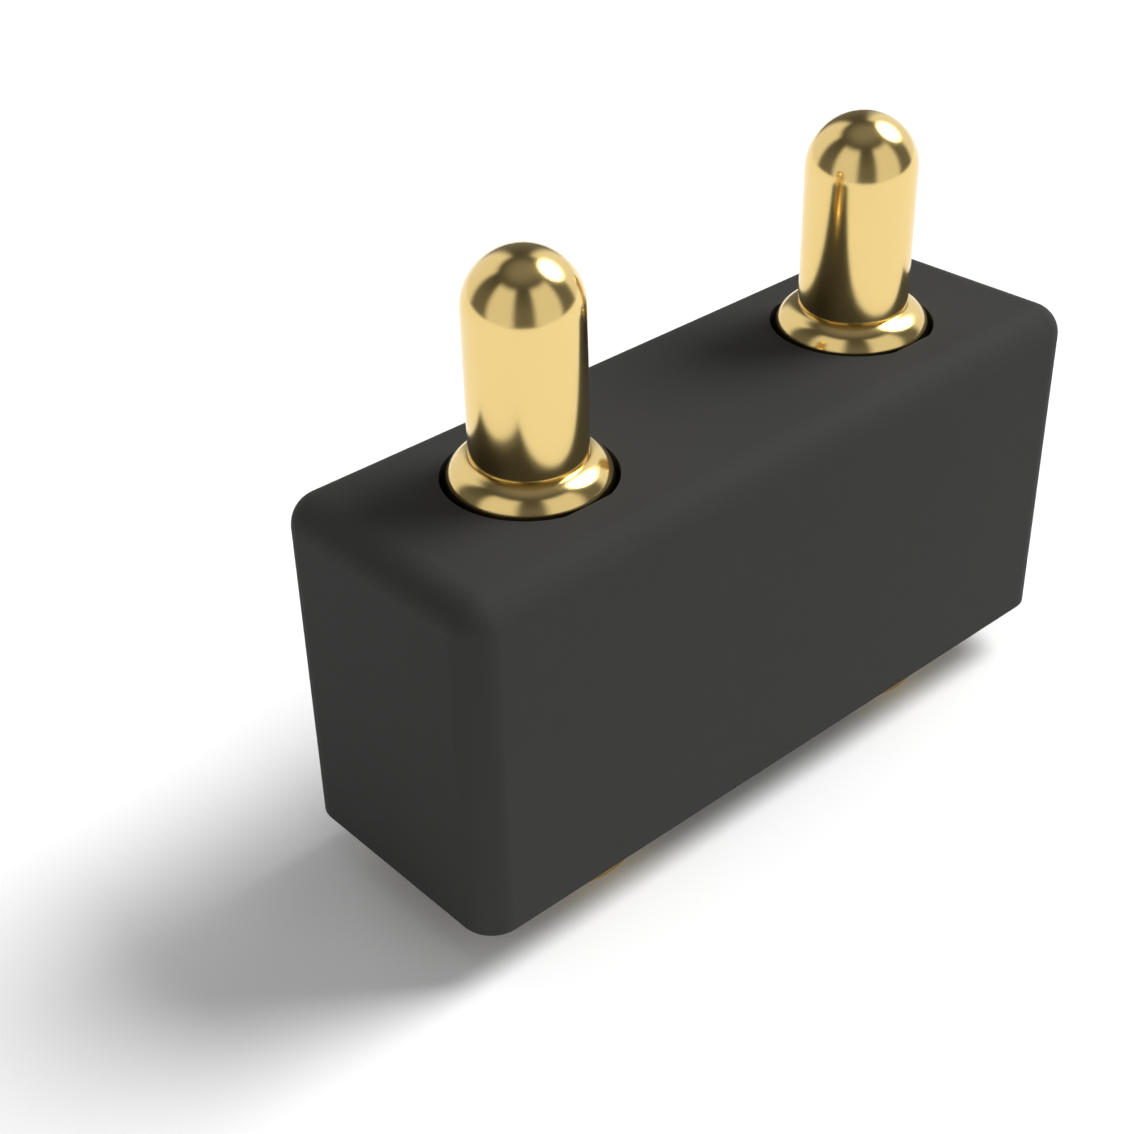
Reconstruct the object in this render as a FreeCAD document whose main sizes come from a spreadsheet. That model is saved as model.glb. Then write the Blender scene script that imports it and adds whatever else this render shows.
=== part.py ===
import FreeCAD, Part
import math
import os

import Sketcher
from FreeCAD import Vector

# Two-position spring pin connector for a board. Millimetres.
# The board surface is z = 0, the row of pins runs along X, and the pins point up along Z.
# The origin lies on the board, midway between the two pins.

SIDES = {"left": -1, "right": 1}

SIZES = [
    ("pin_pitch", 4.0, "centre to centre of the two pins"),
    ("housing_length", 7.4, "moulding, along the row"),
    ("housing_width", 2.5, "moulding, across the row"),
    ("housing_height", 3.3, "moulding, foot face to top face"),
    ("corner_radius", 0.3, "upright corners of the moulding"),
    ("rim_radius", 0.3, "top edge of the moulding, all round"),
    ("bore_clearance", 0.05, "barrel to bore, at each side"),
    ("flat_clearance", 0.01, "barrel to the two flats in the bore mouth"),
    ("flat_depth", 1.0, "depth of the flats below the top face"),
    ("lead_in", 0.1, "chamfer where the barrel enters from below"),
    ("barrel_diameter", 1.4, "outside of the barrel"),
    ("barrel_bore", 1.2, "inside of the barrel"),
    ("barrel_floor", 0.7, "solid metal between the board and the bore floor"),
    ("foot_diameter", 1.8, "solder foot flange"),
    ("foot_height", 0.5, "solder foot flange, also the moulding's stand-off"),
    ("foot_chamfer", 0.01, "both edges of the flange"),
    ("barb_bite", 0.03, "how far a barb stands into the bore wall"),
    ("barb_length", 0.2, "ramp of one barb"),
    ("barb_spacing", 0.35, "from one barb to the next"),
    ("barb_start", 0.5, "lowest barb above the flange"),
    ("plunger_diameter", 1.0, "shaft and dome of the plunger"),
    ("plunger_reach", 2.0, "tip of the plunger above the top face"),
    ("lip_clearance", 0.01, "plunger shaft to the rolled lip"),
    ("slide_clearance", 0.02, "plunger shoulder to the barrel bore"),
    ("shoulder_length", 1.1, "guided length of the plunger in the barrel"),
    ("tail_chamfer", 0.05, "lower edge of the shoulder"),
    ("tail_bore_depth", 0.6, "spring seat drilled into the tail"),
    ("spring_diameter", 0.8, "outside of the spring"),
    ("spring_wire", 0.12, "spring wire"),
    ("spring_clearance", 0.02, "spring to the drilled tail"),
    ("spring_turns", 7, "active turns"),
    ("end_turns", 1, "closed turns at each end of the spring"),
    ("end_gap", 0.01, "gap between the closed turns"),
]

BARB_COUNT = 2
STEPS_PER_TURN = 12
WIRE_SIDES = 8
MITRED_MODE = 1  # corner kind of a swept pipe
SAME_HEIGHT = 0.0001
ORIGIN_INDEX = -1
H_AXIS_INDEX = -1
V_AXIS_INDEX = -2


class Size:
    """A length that carries both its number and the sheet expression that gives it."""

    def __init__(self, number, text):
        self.number = number
        self.text = text

    def __add__(self, other):
        other = as_size(other)
        return Size(self.number + other.number, f"({self.text} + {other.text})")

    def __sub__(self, other):
        other = as_size(other)
        return Size(self.number - other.number, f"({self.text} - {other.text})")

    def __mul__(self, factor):
        return Size(self.number * factor, f"({self.text} * {factor})")

    def __truediv__(self, factor):
        return Size(self.number / factor, f"({self.text} / {factor})")


def as_size(value):
    if isinstance(value, Size):
        return value
    return Size(value, str(value))


def make_sheet(doc):
    """Write the driving sizes to the sheet and return them by name."""
    sheet = doc.addObject("Spreadsheet::Sheet", "Sizes")
    for row, (name, value, note) in enumerate(SIZES, start=1):
        sheet.set(f"A{row}", name)
        sheet.set(f"B{row}", str(value))
        sheet.set(f"C{row}", note)
        sheet.setAlias(f"B{row}", name)
    doc.recompute()
    return {name: Size(value, f"Sizes.{name}") for name, value, note in SIZES}


def new_body(doc, label):
    body = doc.addObject("PartDesign::Body", label)
    body.Label = label
    return body


def new_sketch(body, name, role, height=None):
    """Attach an empty sketch to one of the body's own origin planes."""
    sketch = body.newObject("Sketcher::SketchObject", name)
    plane = [item for item in body.Origin.OriginFeatures if item.Role == role][0]
    sketch.AttachmentSupport = [(plane, "")]
    sketch.MapMode = "FlatFace"
    if height is not None:
        sketch.setExpression("AttachmentOffset.Base.z", height.text)
    return sketch


def bound(sketch, constraint, size):
    """Add a dimension to the sketch and tie it to the sheet."""
    index = sketch.addConstraint(constraint)
    sketch.setExpression(f"Constraints[{index}]", size.text)


def hold_corner(sketch, line, end, across, up):
    """Fix one end of a line at its distances from the two sketch axes."""
    for kind, axis, size in (("DistanceX", V_AXIS_INDEX, across), ("DistanceY", H_AXIS_INDEX, up)):
        if isinstance(size, Size):
            bound(sketch, Sketcher.Constraint(kind, ORIGIN_INDEX, 1, line, end, size.number), size)
        elif size == 0:
            sketch.addConstraint(Sketcher.Constraint("PointOnObject", line, end, axis))


def starting_value(size):
    return size.number if isinstance(size, Size) else size


def turned_sketch(body, name, corners, arcs):
    """Draw the closed half section of a turned piece.

    A corner is (radius, height). A Size is held there, 0 lies on the axis, and a plain number is only
    where the corner starts, because its arc places it. An arc is {first corner: its centre}.
    """
    sketch = new_sketch(body, name, "XZ_Plane")
    points = [Vector(starting_value(radius), starting_value(height), 0) for radius, height in corners]
    start_ends = []
    stop_ends = []
    for index, start in enumerate(points):
        stop = points[(index + 1) % len(points)]
        if index not in arcs:
            sketch.addGeometry(Part.LineSegment(start, stop))
            start_ends.append(1)
            stop_ends.append(2)
            continue
        centre = Vector(starting_value(arcs[index][0]), starting_value(arcs[index][1]), 0)
        first = start - centre
        last = stop - centre
        forward = first.cross(last).z > 0
        if not forward:
            first, last = last, first
        circle = Part.Circle(centre, Vector(0, 0, 1), first.Length)
        angles = [math.atan2(arm.y, arm.x) for arm in (first, last)]
        sketch.addGeometry(Part.ArcOfCircle(circle, angles[0], angles[1]))
        start_ends.append(1 if forward else 2)
        stop_ends.append(2 if forward else 1)
        hold_corner(sketch, index, 3, *arcs[index])
    for index, (radius, height) in enumerate(corners):
        before = (index - 1) % len(corners)
        join = Sketcher.Constraint("Coincident", before, stop_ends[before], index, start_ends[index])
        sketch.addConstraint(join)
        hold_corner(sketch, index, start_ends[index], radius, height)
    return sketch


def turn(body, sketch):
    """Turn the half section a full circle about the piece's upright axis."""
    turned = body.newObject("PartDesign::Revolution", "turned")
    turned.Profile = sketch
    turned.ReferenceAxis = (sketch, ["V_Axis"])
    turned.Angle = 360
    body.Tip = turned


def round_edges(body, base, name, kind, size, wanted):
    """Fillet or chamfer those edges of a feature that the test picks."""
    edges = [f"Edge{number}" for number, edge in enumerate(base.Shape.Edges, start=1) if wanted(edge)]
    feature = body.newObject(f"PartDesign::{kind}", name)
    feature.Base = (base, edges)
    feature.setExpression("Radius" if kind == "Fillet" else "Size", size.text)
    body.Tip = feature
    return feature


def cut_pocket(body, sketch, name, depth, upwards):
    pocket = body.newObject("PartDesign::Pocket", name)
    pocket.Profile = sketch
    pocket.Type = "Length"
    pocket.setExpression("Length", depth.text)
    pocket.Reversed = upwards
    body.Tip = pocket
    return pocket


def make_housing(doc, s):
    """Moulded block with one stepped bore for each pin. The bore mouths have two flats."""
    body = new_body(doc, "housing")
    underside = s["foot_height"]
    top = underside + s["housing_height"]

    outline = new_sketch(body, "outline", "XY_Plane", underside)
    half_x = s["housing_length"].number / 2
    half_y = s["housing_width"].number / 2
    ring = [(-half_x, -half_y), (half_x, -half_y), (half_x, half_y), (-half_x, half_y)]
    points = [Vector(x, y, 0) for x, y in ring]
    for index, start in enumerate(points):
        outline.addGeometry(Part.LineSegment(start, points[(index + 1) % len(points)]))
    for index in range(len(points)):
        join = Sketcher.Constraint("Coincident", index, 2, (index + 1) % len(points), 1)
        outline.addConstraint(join)
        direction = "Vertical" if index % 2 else "Horizontal"
        outline.addConstraint(Sketcher.Constraint(direction, index))
    outline.addConstraint(Sketcher.Constraint("Symmetric", 0, 1, 1, 2, ORIGIN_INDEX, 1))
    length = Sketcher.Constraint("DistanceX", 0, 1, 0, 2, 2 * half_x)
    bound(outline, length, s["housing_length"])
    width = Sketcher.Constraint("DistanceY", 1, 1, 1, 2, 2 * half_y)
    bound(outline, width, s["housing_width"])

    block = body.newObject("PartDesign::Pad", "block")
    block.Profile = outline
    block.setExpression("Length", s["housing_height"].text)
    body.Tip = block
    doc.recompute()

    corners = round_edges(body, block, "corners", "Fillet", s["corner_radius"], is_upright)
    doc.recompute()
    top_face = top.number
    rim = round_edges(body, corners, "rim", "Fillet", s["rim_radius"], lambda edge: lies_at(edge, top_face))
    doc.recompute()

    bore_radius = s["barrel_diameter"] / 2 + s["bore_clearance"]
    bore_x = s["pin_pitch"] / 2
    shank = new_sketch(body, "bore_outline", "XY_Plane", underside)
    circle = Part.Circle(Vector(-bore_x.number, 0, 0), Vector(0, 0, 1), bore_radius.number)
    shank.addGeometry(circle)
    bound(shank, Sketcher.Constraint("Radius", 0, bore_radius.number), bore_radius)
    bound(shank, Sketcher.Constraint("DistanceX", 0, 3, ORIGIN_INDEX, 1, bore_x.number), bore_x)
    shank.addConstraint(Sketcher.Constraint("PointOnObject", 0, 3, H_AXIS_INDEX))
    bore = cut_pocket(body, shank, "bore", s["housing_height"] - s["flat_depth"], True)

    mouth_outline = flatted_sketch(body, top, bore_x, bore_radius, s)
    mouth = cut_pocket(body, mouth_outline, "mouth", s["flat_depth"], False)
    doc.recompute()
    for pocket in (bore, mouth):
        if pocket.Shape.Volume >= pocket.BaseFeature.Shape.Volume:
            raise RuntimeError(f"{pocket.Name} cuts nothing")

    row = body.newObject("PartDesign::LinearPattern", "row")
    row.Originals = [bore, mouth]
    row.Direction = (shank, ["H_Axis"])
    row.setExpression("Length", s["pin_pitch"].text)
    row.Occurrences = len(SIDES)
    body.Tip = row
    doc.recompute()

    foot_face = underside.number
    round_edges(body, row, "lead_in", "Chamfer", s["lead_in"], lambda edge: is_ring_at(edge, foot_face))
    doc.recompute()
    return body


def is_upright(edge):
    ends = [vertex.Point for vertex in edge.Vertexes]
    return len(ends) == 2 and abs(ends[0].z - ends[1].z) > edge.Length / 2


def lies_at(edge, height):
    box = edge.BoundBox
    return abs(box.ZMin - height) < SAME_HEIGHT and abs(box.ZMax - height) < SAME_HEIGHT


def is_ring_at(edge, height):
    return lies_at(edge, height) and isinstance(edge.Curve, Part.Circle) and edge.isClosed()


def flatted_sketch(body, top, bore_x, bore_radius, s):
    """Bore mouth: a circle with a flat at its front and one at its back, each just clear of the barrel."""
    sketch = new_sketch(body, "mouth_outline", "XY_Plane", top)
    flat_y = s["barrel_diameter"] / 2 + s["flat_clearance"]
    centre = Vector(-bore_x.number, 0, 0)
    half_flat = math.sqrt(bore_radius.number ** 2 - flat_y.number ** 2)
    corner = math.atan2(flat_y.number, half_flat)
    circle = Part.Circle(centre, Vector(0, 0, 1), bore_radius.number)
    right_end = centre + Vector(half_flat, flat_y.number, 0)
    left_end = centre + Vector(-half_flat, flat_y.number, 0)
    sketch.addGeometry(Part.ArcOfCircle(circle, -corner, corner))
    sketch.addGeometry(Part.LineSegment(right_end, left_end))
    sketch.addGeometry(Part.ArcOfCircle(circle, math.pi - corner, math.pi + corner))
    sketch.addGeometry(Part.LineSegment(-right_end + centre * 2, -left_end + centre * 2))
    for index, following in ((0, 1), (1, 2), (2, 3), (3, 0)):
        sketch.addConstraint(Sketcher.Constraint("Coincident", index, 2, following, 1))
    sketch.addConstraint(Sketcher.Constraint("Horizontal", 1))
    sketch.addConstraint(Sketcher.Constraint("Horizontal", 3))
    sketch.addConstraint(Sketcher.Constraint("Coincident", 0, 3, 2, 3))
    sketch.addConstraint(Sketcher.Constraint("PointOnObject", 0, 3, H_AXIS_INDEX))
    bound(sketch, Sketcher.Constraint("DistanceX", 0, 3, ORIGIN_INDEX, 1, bore_x.number), bore_x)
    bound(sketch, Sketcher.Constraint("Radius", 0, bore_radius.number), bore_radius)
    bound(sketch, Sketcher.Constraint("DistanceY", 0, 3, 1, 1, flat_y.number), flat_y)
    bound(sketch, Sketcher.Constraint("DistanceY", 3, 1, 0, 3, flat_y.number), flat_y)
    return sketch


def make_barrel(doc, s, side):
    """Turned barrel: solder foot, barbs that hold it in the moulding, and a lip rolled in over the plunger."""
    body = new_body(doc, f"barrel_{side}")
    outer = s["barrel_diameter"] / 2
    bore = s["barrel_bore"] / 2
    shaft = s["plunger_diameter"] / 2
    foot = s["foot_diameter"] / 2
    chamfer = s["foot_chamfer"]
    flange_top = s["foot_height"]
    barb = outer + s["bore_clearance"] + s["barb_bite"]
    curl_height = flange_top + s["housing_height"]
    lip_bore = shaft + s["lip_clearance"]
    lip_top = curl_height.number + arc_rise(outer - shaft, s["lip_clearance"])
    lip_underside = curl_height.number + arc_rise(bore - shaft, s["lip_clearance"])

    corners = [
        (0, 0),
        (foot - chamfer, 0),
        (foot, chamfer),
        (foot, flange_top - chamfer),
        (foot - chamfer, flange_top),
        (outer, flange_top),
    ]
    for number in range(BARB_COUNT):
        step = flange_top + s["barb_start"] + s["barb_spacing"] * number
        corners += [(outer, step), (barb, step), (outer, step + s["barb_length"])]
    curl = len(corners)
    corners += [
        (outer, curl_height),
        (lip_bore, lip_top),
        (lip_bore, lip_underside),
        (bore, curl_height),
        (bore, s["barrel_floor"]),
        (0, s["barrel_floor"]),
    ]
    arcs = {curl: (shaft, curl_height), curl + 2: (shaft, curl_height)}
    turn(body, turned_sketch(body, "half_section", corners, arcs))
    body.setExpression("Placement.Base.x", (s["pin_pitch"] / 2 * SIDES[side]).text)
    return body


def arc_rise(radius, reach):
    """Height of a point on an arc, given its distance across from the centre."""
    return math.sqrt(radius.number ** 2 - reach.number ** 2)


def make_plunger(doc, s, side):
    """Turned plunger: domed shaft, a round shoulder that stops under the lip, and a drilled tail."""
    body = new_body(doc, f"plunger_{side}")
    shaft = s["plunger_diameter"] / 2
    shoulder = s["barrel_bore"] / 2 - s["slide_clearance"]
    seat = s["spring_diameter"] / 2 + s["spring_clearance"]
    stop = s["shoulder_length"]
    dome_centre = stop + s["plunger_reach"] - shaft
    corners = [
        (seat, 0),
        (shoulder - s["tail_chamfer"], 0),
        (shoulder, s["tail_chamfer"]),
        (shoulder, stop),
        (shaft, (stop + shoulder - shaft).number),
        (shaft, dome_centre),
        (0, (dome_centre + shaft).number),
        (0, s["tail_bore_depth"]),
        (seat, s["tail_bore_depth"]),
    ]
    arcs = {3: (shaft, stop), 5: (0, dome_centre)}
    turn(body, turned_sketch(body, "half_section", corners, arcs))
    body.setExpression("Placement.Base.x", (s["pin_pitch"] / 2 * SIDES[side]).text)
    body.setExpression("Placement.Base.z", tail_height(s).text)
    return body


def tail_height(s):
    """Lower end of the plunger at rest, its shoulder centred in the curl of the lip."""
    return s["foot_height"] + s["housing_height"] - s["shoulder_length"]


def make_spring(doc, s, side):
    """Compression spring with closed ends ground flat, from the barrel floor to the drilled tail.

    To keep its facets few, each turn is a run of straight mitred lengths of eight-sided wire.
    """
    wire = s["spring_wire"].number
    radius = (s["spring_diameter"].number - wire) / 2
    length = (tail_height(s) + s["tail_bore_depth"] - s["barrel_floor"]).number
    end_turns = s["end_turns"].number
    end_pitch = wire + s["end_gap"].number
    coil_turns = s["spring_turns"].number
    coil_pitch = (length - 2 * end_pitch * end_turns) / coil_turns
    turns = coil_turns + 2 * end_turns
    steps = round(turns * STEPS_PER_TURN)

    path = []
    for step in range(steps + 1):
        turned = turns * step / steps
        closed = min(turned, end_turns) + max(turned - end_turns - coil_turns, 0)
        height = end_pitch * closed + coil_pitch * (turned - closed)
        angle = 2 * math.pi * turned
        path.append(Vector(radius * math.cos(angle), radius * math.sin(angle), height))
    section = []
    for side_number in range(WIRE_SIDES + 1):
        angle = 2 * math.pi * (side_number + 0.5) / WIRE_SIDES
        section.append(Vector(radius + wire / 2 * math.cos(angle), 0, wire / 2 * math.sin(angle)))
    coil = Part.makePolygon(path).makePipeShell([Part.makePolygon(section)], True, False, MITRED_MODE)

    room = Part.makeCylinder(s["spring_diameter"].number, length)
    spring = doc.addObject("Part::Feature", f"spring_{side}")
    spring.Label = f"spring_{side}"
    spring.Shape = coil.common(room)
    spring.setExpression("Placement.Base.x", (s["pin_pitch"] / 2 * SIDES[side]).text)
    spring.setExpression("Placement.Base.z", s["barrel_floor"].text)
    return spring


def check_document(doc, pieces):
    """Stop before anything is written if an object failed or a piece isn't one sound solid."""
    for item in doc.Objects:
        if {"Invalid", "Error"} & set(item.State):
            raise RuntimeError(f"{item.Name} failed: {item.State}")
    for piece in pieces:
        shape = piece.Shape
        if shape.isNull() or not shape.isValid() or len(shape.Solids) != 1:
            raise RuntimeError(f"{piece.Label} isn't one sound solid")


def main():
    doc = FreeCAD.newDocument("spring_pin_connector")
    s = make_sheet(doc)
    pieces = [make_housing(doc, s)]
    for side in SIDES:
        pieces += [make_barrel(doc, s, side), make_plunger(doc, s, side), make_spring(doc, s, side)]
    doc.recompute()
    check_document(doc, pieces)
    os.makedirs("parts", exist_ok=True)
    for piece in pieces:
        piece.Shape.exportStep(f"parts/{piece.Label}.step")
        box = piece.Shape.BoundBox
        print(piece.Label, f"{piece.Shape.Volume:.4f} mm3", f"z {box.ZMin:.3f} to {box.ZMax:.3f}")


main()
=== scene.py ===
import math

import bmesh
import bpy
from mathutils import Matrix, Vector


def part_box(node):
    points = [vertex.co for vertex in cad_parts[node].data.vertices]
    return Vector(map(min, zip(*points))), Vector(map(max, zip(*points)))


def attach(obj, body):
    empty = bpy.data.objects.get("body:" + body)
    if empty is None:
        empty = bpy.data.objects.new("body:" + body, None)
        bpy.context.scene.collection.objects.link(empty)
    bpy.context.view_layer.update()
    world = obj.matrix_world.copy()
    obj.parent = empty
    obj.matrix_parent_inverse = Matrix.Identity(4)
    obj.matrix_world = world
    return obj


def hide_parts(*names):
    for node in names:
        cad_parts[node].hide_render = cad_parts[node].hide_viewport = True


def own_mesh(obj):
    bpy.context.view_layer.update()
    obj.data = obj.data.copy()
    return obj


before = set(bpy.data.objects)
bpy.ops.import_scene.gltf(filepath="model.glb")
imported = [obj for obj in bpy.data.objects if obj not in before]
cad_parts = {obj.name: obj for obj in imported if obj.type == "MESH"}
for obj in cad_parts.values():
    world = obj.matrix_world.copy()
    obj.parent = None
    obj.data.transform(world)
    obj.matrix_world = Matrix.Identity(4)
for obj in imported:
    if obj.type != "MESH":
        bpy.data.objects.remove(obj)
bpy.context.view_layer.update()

# Everything is modelled in millimetres and scaled to metres when a piece is finished
mm = 0.001
sides = ("left", "right")
upright = Vector((0, 0, 1))
noiseSpan = (0.3, 0.7)  # a noise texture hardly leaves this range


def hexColour(code):  # sRGB hex to the linear colour that a shader takes
    channels = [int(code[start:start + 2], 16) / 255 for start in (1, 3, 5)]
    return [c / 12.92 if c <= 0.04045 else ((c + 0.055) / 1.055) ** 2.4 for c in channels] + [1]


def perMm(size):  # texture scale that makes one feature this many mm wide on Object coordinates
    return 1 / (size * mm)


def addNode(tree, kind, settings, links=None):  # settings are sockets or properties, links go into sockets
    node = tree.nodes.new(kind)
    for name, value in settings.items():
        if isinstance(name, int) or name in node.inputs:
            node.inputs[name].default_value = value
        else:
            setattr(node, name, value)
    for name, socket in (links or {}).items():
        tree.links.new(socket, node.inputs[name])
    return node


def newMaterial(name, settings):  # a Principled material with its values on the shader's own sockets
    material = bpy.data.materials.new(name)
    material.use_nodes = True
    tree = material.node_tree
    shader = tree.nodes["Principled BSDF"]
    for socket, value in settings.items():
        shader.inputs[socket].default_value = value
    return material, tree, shader


def setRoughness(tree, shader, pattern, span):  # lets a noise pattern move the roughness within a span
    dull = addNode(tree, "ShaderNodeMapRange", {
        "From Min": noiseSpan[0], "From Max": noiseSpan[1], "To Min": span[0], "To Max": span[1],
    }, {"Value": pattern.outputs["Fac"]})
    tree.links.new(dull.outputs["Result"], shader.inputs["Roughness"])


def setBump(tree, shader, pattern, depth):  # raises a noise pattern by its depth in mm
    bump = addNode(tree, "ShaderNodeBump", {"Strength": 1.0, "Distance": depth * mm}, {
        "Height": pattern.outputs["Fac"],
    })
    tree.links.new(bump.outputs["Normal"], shader.inputs["Normal"])


# Hard gold over nickel on turned brass, barrel plated: bright, slightly soft mirror, faint lathe rings
goldLook = {
    "colour": "#E4C885",
    "roughness": (0.14, 0.17),
    "ringSpacing": 0.012,  # mm, feed of the lathe, drawn coarser than the real 0.004 so that it shows
    "ringDepth": 0.00001,  # mm
    "cloudSize": 0.35,  # mm, patches where the plating is a little duller
}


def makeGold():
    material, tree, shader = newMaterial("hardGoldPlate", {
        "Base Color": hexColour(goldLook["colour"]),
        "Metallic": 1.0,
    })
    place = addNode(tree, "ShaderNodeTexCoord", {})
    cloud = addNode(tree, "ShaderNodeTexNoise", {
        "Scale": perMm(goldLook["cloudSize"]), "Detail": 3.0,
    }, {"Vector": place.outputs["Object"]})
    setRoughness(tree, shader, cloud, goldLook["roughness"])
    rings = addNode(tree, "ShaderNodeMapping", {
        "Scale": (0, 0, perMm(goldLook["ringSpacing"])),
    }, {"Vector": place.outputs["Object"]})
    marks = addNode(tree, "ShaderNodeTexNoise", {
        "Scale": 1.0, "Detail": 2.0,
    }, {"Vector": rings.outputs["Vector"]})
    setBump(tree, shader, marks, goldLook["ringDepth"])
    return material


# Glass-filled nylon, moulded in a spark-eroded tool: even matte black with a very fine grain, and painted
# shade in narrow gaps
nylonLook = {
    "colour": ("#393938", "#3B3B3A"),
    "roughness": (0.66, 0.76),
    "specular": 0.05,
    "refraction": 1.53,
    "grainSize": 0.03,  # mm, spark-eroded texture
    "grainDepth": 0.0006,  # mm
    "toneSize": 1.6,  # mm, slow drift of the tone from the flow of the melt
    "paintedShadeReach": 0.12,  # mm, painted shade darkens the colour in gaps narrower than this
    "paintedShadeOpening": (0.1, 0.5),  # how open a gap is at full painted shade, and where the painted shade ends
    "paintedShadeLevel": 0.05,  # what is left of the colour in full painted shade
}


def makeNylon():
    material, tree, shader = newMaterial("blackGlassFilledNylon", {
        "Specular IOR Level": nylonLook["specular"],
        "IOR": nylonLook["refraction"],
    })
    place = addNode(tree, "ShaderNodeTexCoord", {})
    drift = addNode(tree, "ShaderNodeTexNoise", {
        "Scale": perMm(nylonLook["toneSize"]), "Detail": 2.0,
    }, {"Vector": place.outputs["Object"]})
    tone = addNode(tree, "ShaderNodeMixRGB", {
        "Color1": hexColour(nylonLook["colour"][0]), "Color2": hexColour(nylonLook["colour"][1]),
    }, {"Fac": drift.outputs["Fac"]})
    # painted shade: ambient occlusion darkens the base colour in narrow gaps and recesses, such as round
    # the barrels in the bores, so that they stay black
    opening = addNode(tree, "ShaderNodeAmbientOcclusion", {
        "samples": 4, "Distance": nylonLook["paintedShadeReach"] * mm,
    })
    shut, clear = nylonLook["paintedShadeOpening"]
    depth = addNode(tree, "ShaderNodeMapRange", {
        "From Min": shut, "From Max": clear, "To Min": nylonLook["paintedShadeLevel"], "To Max": 1.0,
    }, {"Value": opening.outputs["AO"]})
    shade = addNode(tree, "ShaderNodeMixRGB", {"blend_type": "MULTIPLY", "Fac": 1.0}, {
        "Color1": tone.outputs["Color"], "Color2": depth.outputs["Result"],
    })
    tree.links.new(shade.outputs["Color"], shader.inputs["Base Color"])
    grain = addNode(tree, "ShaderNodeTexNoise", {
        "Scale": perMm(nylonLook["grainSize"]), "Detail": 3.0, "Roughness": 0.6,
    }, {"Vector": place.outputs["Object"]})
    setRoughness(tree, shader, grain, nylonLook["roughness"])
    setBump(tree, shader, grain, nylonLook["grainDepth"])
    return material


# Cold-drawn music wire: bright grey steel with fine scratches from the die
wireLook = {
    "colour": "#B4B2AD",
    "roughness": (0.22, 0.38),
    "scratchSize": 0.02,  # mm
    "scratchDepth": 0.0003,  # mm
}


def makeWire():
    material, tree, shader = newMaterial("drawnMusicWire", {
        "Base Color": hexColour(wireLook["colour"]),
        "Metallic": 1.0,
    })
    place = addNode(tree, "ShaderNodeTexCoord", {})
    scratches = addNode(tree, "ShaderNodeTexNoise", {
        "Scale": perMm(wireLook["scratchSize"]), "Detail": 2.0,
    }, {"Vector": place.outputs["Object"]})
    setRoughness(tree, shader, scratches, wireLook["roughness"])
    setBump(tree, shader, scratches, wireLook["scratchDepth"])
    return material


gold = makeGold()
nylon = makeNylon()
wire = makeWire()
print("materials: gold plate, nylon, spring wire")


def partBox(node):  # corners of a CAD node, in mm
    low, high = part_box(node)
    return low / mm, high / mm


def pinCentre(side):  # where a pin's axis crosses the board
    low, high = partBox(f"barrel_{side}")
    return Vector(((low.x + high.x) / 2, (low.y + high.y) / 2, 0))


meshForm = {
    "weldReach": 0.0005,  # mm, corners closer than this become one
    "sharpAngle": 32,  # degrees, edges that turn less than this shade smooth
}


def closeMesh(bm):  # merges what spin and fill leave double, and turns every face outwards
    bmesh.ops.remove_doubles(bm, verts=bm.verts, dist=meshForm["weldReach"])
    bmesh.ops.dissolve_degenerate(bm, edges=bm.edges, dist=meshForm["weldReach"])
    bmesh.ops.recalc_face_normals(bm, faces=bm.faces)


def finishPiece(bm, name, node, body, material):  # mesh to object, in place of its CAD node
    sharpAngle = math.radians(meshForm["sharpAngle"])
    bmesh.ops.scale(bm, vec=(mm, mm, mm), verts=bm.verts)
    for face in bm.faces:
        face.smooth = True
    for edge in bm.edges:
        edge.smooth = edge.calc_face_angle(0) < sharpAngle
    mesh = bpy.data.meshes.new(name)
    bm.to_mesh(mesh)
    bm.free()
    mesh.materials.append(material)
    piece = bpy.data.objects.new(name, mesh)
    bpy.context.scene.collection.objects.link(piece)
    even = piece.modifiers.new("evenNormals", "WEIGHTED_NORMAL")  # keeps flats flat beside their fillets
    even.keep_sharp = True
    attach(piece, body)
    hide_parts(node)
    return piece


# Moulded block with two bores, each with two flats in its mouth
housingForm = {
    "cornerRadius": 0.3,  # upright corners and top rim
    "cornerSegments": 16,
    "boreRadius": 0.75,
    "flatReach": 0.71,  # pin axis to each of the two flats
    "flatDepth": 1.0,
    "leadIn": 0.1,
    "boreSegments": 128,
    "levelNormal": 0.999,  # a face that points up or down more than this is level
    "flatArea": 1,  # mm2, every facet of the roundings is smaller
}


def cutBore(bm, centre, floorZ, topZ):  # the bore's wall, from its mouth down to its lead-in
    form = housingForm
    stages = (
        ("flats", topZ - form["flatDepth"]),
        ("step", topZ - form["flatDepth"]),
        ("bore", floorZ + form["leadIn"]),
        ("leadIn", floorZ),
    )
    ring = bmesh.ops.create_circle(
        bm, cap_ends=False, radius=form["boreRadius"], segments=form["boreSegments"],
        matrix=Matrix.Translation(centre + upright * topZ),
    )["verts"]
    mouth = list(dict.fromkeys(edge for vert in ring for edge in vert.link_edges))
    for vert in ring:
        vert.co.y = max(-form["flatReach"], min(form["flatReach"], vert.co.y))
    edges = mouth
    for stage, height in stages:
        grown = bmesh.ops.extrude_edge_only(bm, edges=edges)["geom"]
        verts = [item for item in grown if isinstance(item, bmesh.types.BMVert)]
        edges = [item for item in grown if isinstance(item, bmesh.types.BMEdge)]
        for vert in verts:
            vert.co.z = height
            if stage == "step":  # back out to the full circle
                across = vert.co.x - centre.x
                reach = math.sqrt(max(form["boreRadius"] ** 2 - across ** 2, 0))
                vert.co.y = math.copysign(reach, vert.co.y)
        if stage == "leadIn":
            wider = 1 + form["leadIn"] / form["boreRadius"]
            bmesh.ops.scale(bm, vec=(wider, wider, 1), verts=verts, space=Matrix.Translation(-centre))
    return mouth, edges


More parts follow.
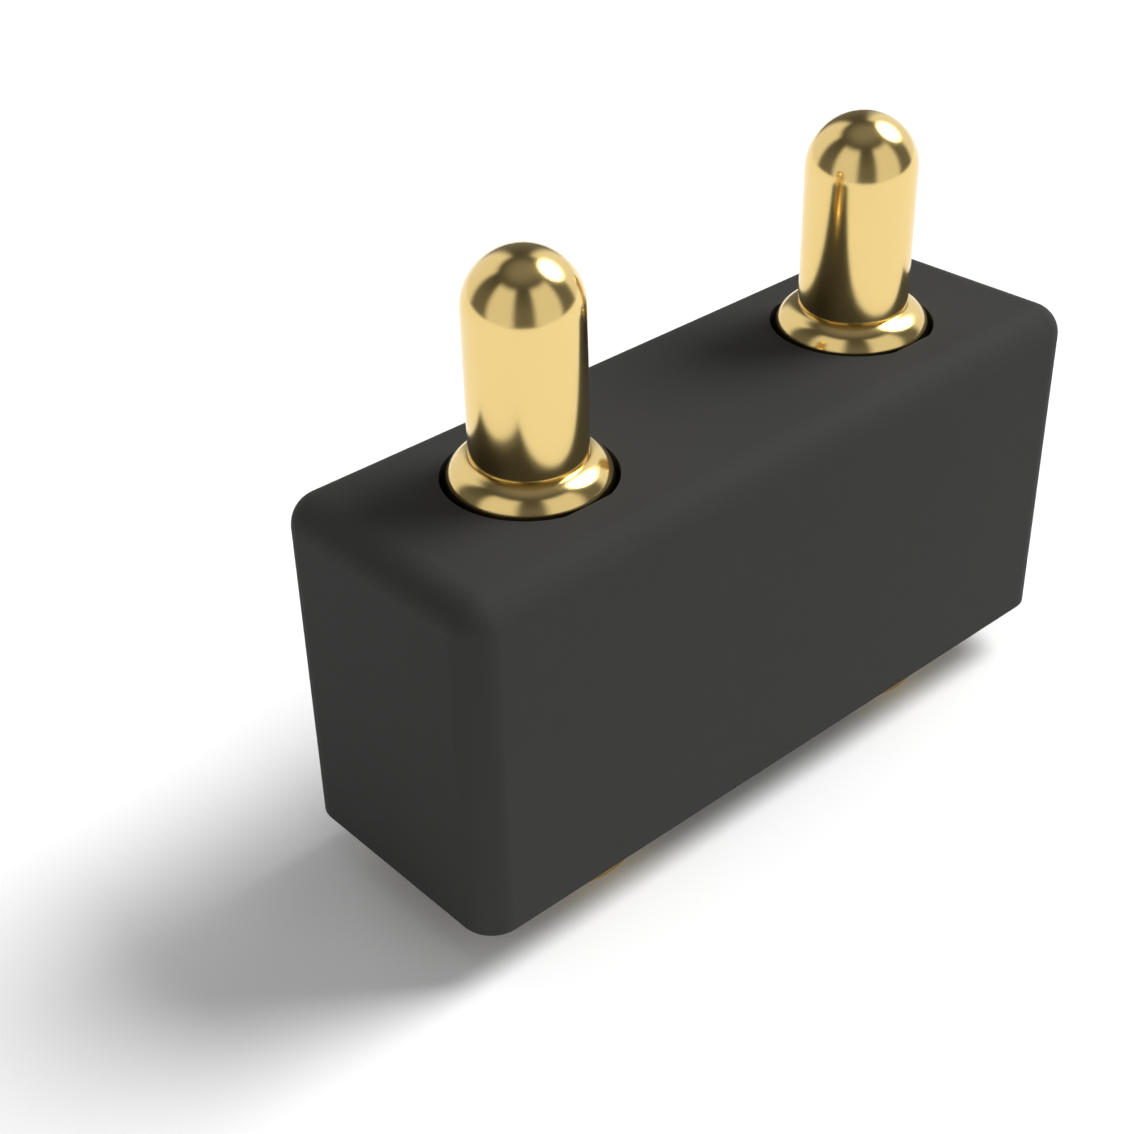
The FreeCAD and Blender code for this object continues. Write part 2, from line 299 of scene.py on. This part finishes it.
def makeHousing():
    form = housingForm
    low, high = partBox("housing")
    bm = bmesh.new()
    bmesh.ops.create_cube(bm, size=1)
    bmesh.ops.scale(bm, vec=high - low, verts=bm.verts)
    middle = (high + low) / 2
    bmesh.ops.translate(bm, vec=middle, verts=bm.verts)
    # The four edges round the foot stay sharp
    rounded = [edge for edge in bm.edges if max(vert.co.z for vert in edge.verts) > middle.z]
    bmesh.ops.bevel(
        bm, geom=rounded, offset=form["cornerRadius"], offset_type="OFFSET",
        segments=form["cornerSegments"], profile=0.5, affect="EDGES", material=-1,
    )
    level = [face for face in bm.faces if abs(face.normal.z) > form["levelNormal"]]
    caps = [face for face in level if face.calc_area() > form["flatArea"]]
    rims = {face.normal.z > 0: list(face.edges) for face in caps}  # True is the top, False the foot
    bmesh.ops.delete(bm, geom=caps, context="FACES_ONLY")
    for side in sides:
        mouth, leadIn = cutBore(bm, pinCentre(side), low.z, high.z)
        rims[True] += mouth
        rims[False] += leadIn
    for rim in rims.values():
        bmesh.ops.triangle_fill(bm, use_beauty=True, use_dissolve=False, edges=rim)
    closeMesh(bm)
    return finishPiece(bm, "connector_housing", "housing", "connector_body", nylon)


# What all turned pieces share, in mm and degrees
turnedForm = {
    "turnSteps": 160,  # facets round a turned piece
    "arcStep": 3.0,  # degrees of an arc in one facet
    "edgeBreak": 0.005,  # tiny rounding that tumbling leaves on every turned edge
    "edgeSegments": 3,
    "cornerTurn": 20,  # a half section's corner that turns more than this is sharp
    "longWall": 0.06,  # a straight wall longer than this gets a ring near each end
    "endStrip": 0.02,  # from the end to that ring
}


def drawProfile(bm, start, strokes):
    # Half section in the XZ plane. A stroke is (radius, height) to go to, or an arc: (centre, degrees)
    tip = bm.verts.new((start[0], 0, start[1]))
    for stroke in strokes:
        if isinstance(stroke[0], tuple):
            centre, degrees = stroke
            steps = max(2, round(abs(degrees) / turnedForm["arcStep"]))
            swept = bmesh.ops.spin(
                bm, geom=[tip], cent=(centre[0], 0, centre[1]), axis=(0, -1, 0),
                angle=math.radians(degrees), steps=steps, use_merge=False, use_duplicate=False,
            )["geom_last"]
            tip = [item for item in swept if isinstance(item, bmesh.types.BMVert)][0]
            continue
        grown = bmesh.ops.extrude_vert_indiv(bm, verts=[tip])["verts"]
        tip = grown[0]
        tip.co = (stroke[0], 0, stroke[1])


def breakCorners(bm):  # rounds the sharp corners of a half section
    corners = []
    for vert in bm.verts:
        if len(vert.link_edges) == 2:
            arms = [(edge.other_vert(vert).co - vert.co).normalized() for edge in vert.link_edges]
            if arms[0].angle(-arms[1]) > math.radians(turnedForm["cornerTurn"]):
                corners.append(vert)
    bmesh.ops.bevel(
        bm, geom=corners, offset=turnedForm["edgeBreak"], offset_type="OFFSET",
        segments=turnedForm["edgeSegments"], profile=0.5, affect="VERTICES", material=-1,
    )


def holdWalls(bm):  # adds rings near both ends of a long straight wall, so that it shades straight
    for wall in [edge for edge in bm.edges if edge.calc_length() > turnedForm["longWall"]]:
        for end in wall.verts[:]:
            rest = max(end.link_edges, key=bmesh.types.BMEdge.calc_length)
            bmesh.utils.edge_split(rest, end, turnedForm["endStrip"] / rest.calc_length())


def turnProfile(bm, centre):  # turns the half section a full circle and stands it on the pin's axis
    breakCorners(bm)
    holdWalls(bm)
    bmesh.ops.spin(
        bm, geom=bm.verts[:] + bm.edges[:], cent=(0, 0, 0), axis=upright, angle=2 * math.pi,
        steps=turnedForm["turnSteps"], use_merge=True, use_duplicate=False,
    )
    bmesh.ops.translate(bm, vec=centre, verts=bm.verts)
    closeMesh(bm)


# Turned barrel: solder foot, two barbs, and a lip rolled in over the plunger
barrelForm = {
    "footHeight": 0.5,
    "footBreak": 0.02,  # bevel round the solder face
    "bodyRadius": 0.7,
    "boreRadius": 0.6,
    "boreFloor": 0.7,
    "barbRadius": 0.78,
    "barbFeet": (1.0, 1.35),
    "barbLength": 0.2,
    "throatRadius": 0.5,  # inside, the lip curls in about this radius, at the top face of the housing
    "lipRadius": 0.706,  # outside, it bulges a little past the wall, bends over and ends in a flat slope
    "lipBend": 0.25,
    "lipSlope": 20,  # degrees, down from the plunger
    "lipBore": 0.502,
}


def makeBarrel(side):
    form = barrelForm
    low, high = partBox(f"barrel_{side}")
    footRadius = (high.x - low.x) / 2
    curlHeight = partBox("housing")[1].z
    slope = math.radians(form["lipSlope"])
    bend = form["lipBend"]
    bendCentre = form["lipRadius"] - bend
    slopeWidth = bendCentre + bend * math.sin(slope) - form["lipBore"]
    bendHeight = high.z - slopeWidth * math.tan(slope) - bend * math.cos(slope)
    bulge = math.acos((form["bodyRadius"] - bendCentre) / bend)
    innerRadius = form["boreRadius"] - form["throatRadius"]
    innerTurn = math.acos((form["lipBore"] - form["throatRadius"]) / innerRadius)
    strokes = [
        (footRadius - form["footBreak"], 0),
        (footRadius, form["footBreak"]),
        (footRadius, form["footHeight"]),
        (form["bodyRadius"], form["footHeight"]),
    ]
    for foot in form["barbFeet"]:
        strokes += [(form["bodyRadius"], foot), (form["barbRadius"], foot)]
        strokes += [(form["bodyRadius"], foot + form["barbLength"])]
    strokes += [
        (form["bodyRadius"], bendHeight - bend * math.sin(bulge)),
        ((bendCentre, bendHeight), math.degrees(bulge) + 90 - form["lipSlope"]),
        (form["lipBore"], high.z),
        (form["lipBore"], curlHeight + innerRadius * math.sin(innerTurn)),
        ((form["throatRadius"], curlHeight), -math.degrees(innerTurn)),
        (form["boreRadius"], form["boreFloor"]),
        (0, form["boreFloor"]),
    ]
    bm = bmesh.new()
    drawProfile(bm, (0, low.z), strokes)
    turnProfile(bm, pinCentre(side))
    return finishPiece(bm, f"turned_barrel_{side}", f"barrel_{side}", "connector_body", gold)


# Turned plunger: domed shaft, round shoulder under the lip, tail drilled for the spring
plungerForm = {
    "shaftRadius": 0.5,
    "shoulderRadius": 0.58,
    "shoulderLength": 1.1,
    "tailChamfer": 0.05,
    "seatRadius": 0.42,
    "seatDepth": 0.6,
}


def makePlunger(side):
    form = plungerForm
    low, high = partBox(f"plunger_{side}")
    stop = low.z + form["shoulderLength"]
    domeCentre = high.z - form["shaftRadius"]
    strokes = [
        (form["seatRadius"], low.z + form["seatDepth"]),
        (form["seatRadius"], low.z),
        (form["shoulderRadius"] - form["tailChamfer"], low.z),
        (form["shoulderRadius"], low.z + form["tailChamfer"]),
        (form["shoulderRadius"], stop),
        ((form["shaftRadius"], stop), 90),
        (form["shaftRadius"], domeCentre),
        ((0, domeCentre), 90),
    ]
    bm = bmesh.new()
    drawProfile(bm, (0, low.z + form["seatDepth"]), strokes)
    turnProfile(bm, pinCentre(side))
    body = f"plunger_{side}"
    return finishPiece(bm, f"domed_plunger_{side}", f"plunger_{side}", body, gold)


# Compression spring: closed turns at both ends, ground flat
springForm = {
    "wire": 0.12,
    "wireSides": 16,
    "coilTurns": 7,
    "endTurns": 1,
    "endPitch": 0.13,
    "turnSteps": 36,
    "cutReach": 0.0001,  # a corner this close to the ground face counts as on it
}


def makeSpring(side):
    form = springForm
    low, high = partBox(f"spring_{side}")
    centre = pinCentre(side)
    coilRadius = (high.y - low.y - form["wire"]) / 2
    coilPitch = (high.z - low.z - 2 * form["endTurns"] * form["endPitch"]) / form["coilTurns"]
    bm = bmesh.new()
    ring = bmesh.ops.create_circle(
        bm, cap_ends=False, radius=form["wire"] / 2, segments=form["wireSides"],
        matrix=Matrix.Translation((coilRadius, 0, low.z)) @ Matrix.Rotation(math.pi / 2, 4, "X"),
    )["verts"]
    ends = [bm.edges[:]]
    geometry = ring + bm.edges[:]
    closed = (form["endTurns"], form["endPitch"])
    for turns, pitch in (closed, (form["coilTurns"], coilPitch), closed):
        geometry = bmesh.ops.spin(
            bm, geom=geometry, cent=(0, 0, 0), axis=upright, angle=turns * 2 * math.pi,
            dvec=upright * (pitch / form["turnSteps"]), steps=turns * form["turnSteps"],
            use_merge=False, use_duplicate=False,
        )["geom_last"]
    ends.append([item for item in geometry if isinstance(item, bmesh.types.BMEdge)])
    for edges in ends:
        bmesh.ops.contextual_create(bm, geom=edges)
    for height, outwards in ((low.z, -upright), (high.z, upright)):  # grinds the two ends flat
        cut = bmesh.ops.bisect_plane(
            bm, geom=bm.verts[:] + bm.edges[:] + bm.faces[:], dist=form["cutReach"],
            plane_co=upright * height, plane_no=outwards, clear_outer=True,
        )["geom_cut"]
        rim = [item for item in cut if isinstance(item, bmesh.types.BMEdge)]
        bmesh.ops.triangle_fill(bm, use_beauty=True, use_dissolve=True, edges=rim)
    bmesh.ops.translate(bm, vec=centre, verts=bm.verts)
    closeMesh(bm)
    piece = finishPiece(bm, f"coil_spring_{side}", f"spring_{side}", "connector_body", wire)
    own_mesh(piece)
    return piece


pieces = [makeHousing()]
for side in sides:
    pieces += [makeBarrel(side), makePlunger(side), makeSpring(side)]
for piece in pieces:
    print(f"piece: {piece.name}, {len(piece.data.polygons)} faces")


# Photo studio, in mm and degrees: matt white table, dark tent, four soft panels and two soft boxes
studioLook = {
    "tableRadius": 100,
    "tableCentre": (47, 63),  # its near edge is just behind the camera
    "tableSides": 256,
    "tableColour": "#FFFFFF",
    "tableRoughness": 0.6,
    "tableSpecular": 0,
    "lampDistance": 1000,
    "keys": ((-13, 44.5, 39, 2.4), (-17.5, 47, 28, 12.3)),  # turn, rise, spread and glow
    "panels": {5: (0.99, 55), 94: (0.97, 53), 186: (0.9, 51), 276: (0.9, 52)},  # turn: glow, spread
    "panelSoftness": 14,  # over which a panel's upright edges fade
    "panelFoot": -13,
    "panelFade": (45, 58),  # rise over which the panels end
    "panelSteps": 24,
    "tentRadius": 2500,
    "tentSides": (48, 24),
    "tentGlow": {15: 0.17, 50: 0.085, 60: 0.105, 80: 0.26},  # by rise, darkest level with the panels' tops
    "worldGlow": 0.17,
    "backdropColour": "#FFFFFF",
}


def direction(turn, rise):  # turn is counted from X towards Y, rise from the table's level
    turn, rise = math.radians(turn), math.radians(rise)
    return Vector((math.cos(turn) * math.cos(rise), math.sin(turn) * math.cos(rise), math.sin(rise)))


def makeKey(turn, rise, spread, glow):  # a glow of 1 is as bright as a white wall in full light
    place = direction(turn, rise) * studioLook["lampDistance"]
    width = 2 * studioLook["lampDistance"] * math.tan(math.radians(spread / 2))
    lamp = bpy.data.lights.new("softBox", "AREA")
    lamp.shape = "ELLIPSE"
    lamp.size = width * mm
    lamp.size_y = width * mm
    area = width * width * mm * mm * math.pi / 4
    lamp.energy = glow * area * math.pi
    holder = bpy.data.objects.new("softBox", lamp)
    holder.location = place * mm
    holder.rotation_euler = place.to_track_quat("Z", "Y").to_euler()
    holder.visible_camera = False
    bpy.context.scene.collection.objects.link(holder)


def emitter(name):  # a material that only shines
    material = bpy.data.materials.new(name)
    material.use_nodes = True
    tree = material.node_tree
    tree.nodes.remove(tree.nodes["Principled BSDF"])
    light = addNode(tree, "ShaderNodeEmission", {})
    tree.links.new(light.outputs["Emission"], tree.nodes["Material Output"].inputs["Surface"])
    return material, tree, light


def stageMesh(bm, name, material):  # mesh to object, as a thing of the studio
    mesh = bpy.data.meshes.new(name)
    bmesh.ops.scale(bm, vec=(mm, mm, mm), verts=bm.verts)
    bm.to_mesh(mesh)
    bm.free()
    mesh.materials.append(material)
    item = bpy.data.objects.new(name, mesh)
    bpy.context.scene.collection.objects.link(item)
    return item


def fade(tree, value, start, end):  # 1 before the start, 0 past the end
    return addNode(tree, "ShaderNodeMapRange", {
        "interpolation_type": "SMOOTHSTEP", "From Min": start, "From Max": end, "To Min": 1, "To Max": 0,
    }, {"Value": value}).outputs["Result"]


def makePanel(turn, glow, spread):  # a sheet bent round the table, with soft upright edges and a soft top
    look = studioLook
    away = look["lampDistance"]
    half = math.radians(spread / 2)
    soft = math.radians(look["panelSoftness"] / 2)
    rises = (look["panelFoot"], *look["panelFade"])
    foot, fadeStart, top = (away * math.tan(math.radians(rise)) for rise in rises)
    material, tree, light = emitter(f"softPanel{turn}")
    place = addNode(tree, "ShaderNodeTexCoord", {})
    axes = addNode(tree, "ShaderNodeSeparateXYZ", {}, {"Vector": place.outputs["Object"]})
    angle = addNode(tree, "ShaderNodeMath", {"operation": "ARCTAN2"}, {
        0: axes.outputs["Y"], 1: axes.outputs["X"],
    })
    off = addNode(tree, "ShaderNodeMath", {"operation": "ABSOLUTE"}, {0: angle.outputs["Value"]})
    lit = addNode(tree, "ShaderNodeMath", {"operation": "MULTIPLY"}, {
        0: fade(tree, off.outputs["Value"], half - soft, half + soft),
        1: fade(tree, axes.outputs["Z"], fadeStart * mm, top * mm),
    })
    light.inputs["Strength"].default_value = glow
    clear = addNode(tree, "ShaderNodeBsdfTransparent", {})
    sheet = addNode(tree, "ShaderNodeMixShader", {}, {
        0: lit.outputs["Value"], 1: clear.outputs["BSDF"], 2: light.outputs["Emission"],
    })
    tree.links.new(sheet.outputs["Shader"], tree.nodes["Material Output"].inputs["Surface"])
    bm = bmesh.new()
    end = half + soft
    bm.edges.new([bm.verts.new((away * math.cos(end), -away * math.sin(end), z)) for z in (foot, top)])
    bmesh.ops.spin(
        bm, geom=bm.verts[:] + bm.edges[:], cent=(0, 0, 0), axis=upright, angle=2 * end,
        steps=look["panelSteps"], use_merge=False, use_duplicate=False,
    )
    panel = stageMesh(bm, f"softPanel{turn}", material)
    panel.rotation_euler.z = math.radians(turn)
    panel.visible_camera = False


def makeTable():
    material = newMaterial("mattWhiteTable", {
        "Base Color": hexColour(studioLook["tableColour"]),
        "Roughness": studioLook["tableRoughness"],
        "Specular IOR Level": studioLook["tableSpecular"],
    })[0]
    bm = bmesh.new()
    bmesh.ops.create_circle(
        bm, cap_ends=True, radius=studioLook["tableRadius"], segments=studioLook["tableSides"],
    )
    bmesh.ops.translate(bm, vec=(*studioLook["tableCentre"], 0), verts=bm.verts)
    stageMesh(bm, "studioTable", material)


def makeTent():  # a sphere whose glow goes by rise, seen in reflections but not by the camera
    material, tree, light = emitter("greyStudioTent")
    place = addNode(tree, "ShaderNodeTexCoord", {})
    height = addNode(tree, "ShaderNodeSeparateXYZ", {}, {"Vector": place.outputs["Object"]})
    rise = addNode(tree, "ShaderNodeMath", {"operation": "DIVIDE", 1: studioLook["tentRadius"] * mm}, {
        0: height.outputs["Z"],
    })
    shades = addNode(tree, "ShaderNodeValToRGB", {}, {"Fac": rise.outputs["Value"]})
    ramp = shades.color_ramp.elements
    while len(ramp) < len(studioLook["tentGlow"]):
        ramp.new(0.5)  # anywhere, its place is set below
    for stop, (angle, glow) in zip(ramp, studioLook["tentGlow"].items()):
        stop.position = math.sin(math.radians(angle))
        stop.color = [glow] * 3 + [1]
    tree.links.new(shades.outputs["Color"], light.inputs["Strength"])
    material.cycles.emission_sampling = "NONE"
    bm = bmesh.new()
    around, upwards = studioLook["tentSides"]
    bmesh.ops.create_uvsphere(
        bm, u_segments=around, v_segments=upwards, radius=studioLook["tentRadius"],
    )
    tentMesh = stageMesh(bm, "studioTent", material)
    tentMesh.visible_camera = False
    tentMesh.visible_shadow = False


def seenBackground(tree):  # 1 for the camera, and for what metal and glass show
    path = addNode(tree, "ShaderNodeLightPath", {})
    seen = path.outputs["Is Camera Ray"]
    for ray in ("Is Glossy Ray", "Is Transmission Ray"):
        seen = addNode(tree, "ShaderNodeMath", {"operation": "MAXIMUM"}, {
            0: seen, 1: path.outputs[ray],
        }).outputs["Value"]
    return seen


def makeWorld():  # white where it is seen, grey where it gives light
    world = bpy.data.worlds.new("whiteBackdrop")
    world.use_nodes = True
    tree = world.node_tree
    colour = addNode(tree, "ShaderNodeMixRGB", {
        "Color1": [studioLook["worldGlow"]] * 3 + [1],
        "Color2": hexColour(studioLook["backdropColour"]),
    }, {"Fac": seenBackground(tree)})
    tree.links.new(colour.outputs["Color"], tree.nodes["Background"].inputs["Color"])
    bpy.context.scene.world = world


for turn, rise, spread, glow in studioLook["keys"]:
    makeKey(turn, rise, spread, glow)
for turn, (glow, spread) in studioLook["panels"].items():
    makePanel(turn, glow, spread)
makeTable()
makeTent()
makeWorld()
print("studio: table, tent, four panels and two soft boxes")


# Camera at the photograph's place, in mm and degrees
cameraSet = {
    "place": (-10.4097, -9.9208, 11.4049),
    "turn": (57.2091, 2.9805, -39.7622),
    "lens": 58.14,
    "shift": (0.0886, -0.0113),
    "clip": (0.1, 4000),
}


def makeCamera():
    lens = bpy.data.cameras.new("photoCamera")
    lens.lens = cameraSet["lens"]
    lens.shift_x, lens.shift_y = cameraSet["shift"]
    lens.clip_start, lens.clip_end = (reach * mm for reach in cameraSet["clip"])
    camera = bpy.data.objects.new("photoCamera", lens)
    camera.location = Vector(cameraSet["place"]) * mm
    camera.rotation_euler = [math.radians(angle) for angle in cameraSet["turn"]]
    bpy.context.scene.collection.objects.link(camera)
    bpy.context.scene.camera = camera


makeCamera()
bpy.context.scene.view_settings.view_transform = "Standard"
print("camera: set")
